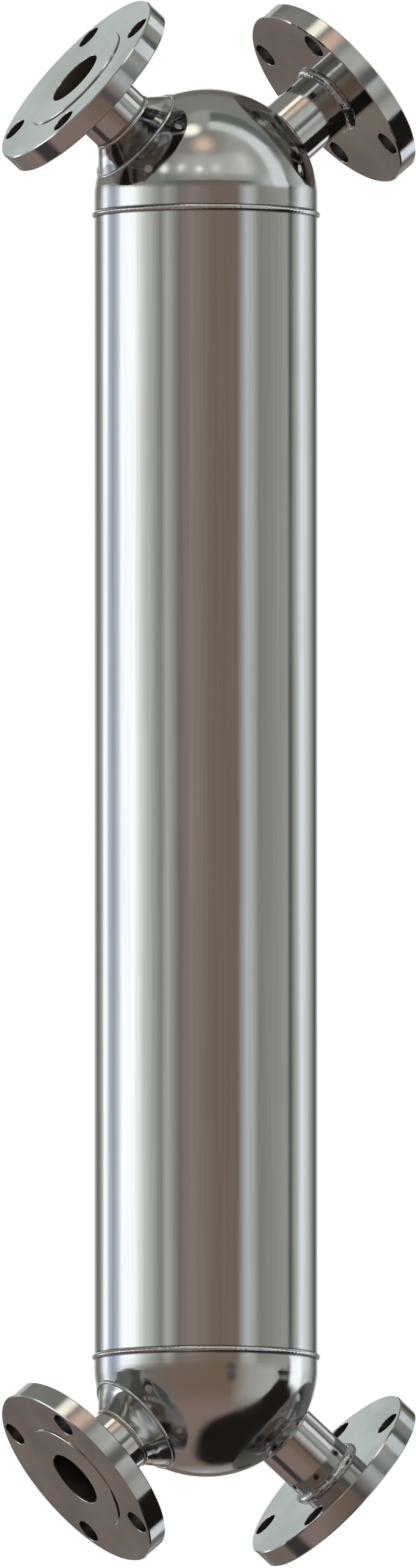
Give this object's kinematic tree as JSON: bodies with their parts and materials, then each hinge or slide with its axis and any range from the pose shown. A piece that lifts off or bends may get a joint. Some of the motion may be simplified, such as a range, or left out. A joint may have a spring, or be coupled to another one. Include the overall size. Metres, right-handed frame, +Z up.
{
  "type": "shell and tube heat exchanger",
  "caption": "Upright polished stainless steel shell and tube heat exchanger with domed heads and slanted flanged nozzles at both ends.",
  "frame": {"origin": "centre of the raised face of the lower tube-side flange, which the pipework holds", "axes": "+Z up along the shell's axis; the nozzles lie in the XZ plane, tube side towards -X, shell side towards +X"},
  "size_m": [0.3009, 0.163, 1.1164],
  "materials": {
    "polished_shell": "mirror-polished stainless steel tube with faint lengthwise waviness",
    "polished_head": "mirror-polished pressed stainless steel",
    "polished_pipe": "polished stainless steel pipe",
    "machined_steel": "turned and polished stainless steel",
    "weld_bead": "bright rippled weld metal",
    "tube_steel": "dull drawn stainless tube"
  },
  "bodies": {
    "root": {"shell": "polished_shell", "upper_head": "polished_head", "upper_girth_weld": "weld_bead", "lower_head": "polished_head", "lower_girth_weld": "weld_bead", "tube_bundle": "tube_steel", "baffle_1": "tube_steel", "baffle_2": "tube_steel", "baffle_3": "tube_steel", "upper_tube_sheet": "machined_steel", "upper_collar": "polished_pipe", "upper_collar_weld": "weld_bead", "upper_neck_weld": "weld_bead", "upper_shell_side_nozzle_weld": "weld_bead", "upper_tube_side_pipe": "polished_pipe", "upper_tube_side_flange": "machined_steel", "upper_tube_side_flange_weld": "weld_bead", "upper_shell_side_pipe": "polished_pipe", "upper_shell_side_flange": "machined_steel", "upper_shell_side_flange_weld": "weld_bead", "lower_tube_sheet": "machined_steel", "lower_collar": "polished_pipe", "lower_collar_weld": "weld_bead", "lower_neck_weld": "weld_bead", "lower_shell_side_nozzle_weld": "weld_bead", "lower_tube_side_pipe": "polished_pipe", "lower_tube_side_flange": "machined_steel", "lower_tube_side_flange_weld": "weld_bead", "lower_shell_side_pipe": "polished_pipe", "lower_shell_side_flange": "machined_steel", "lower_shell_side_flange_weld": "weld_bead"}
  },
  "joints": []
}
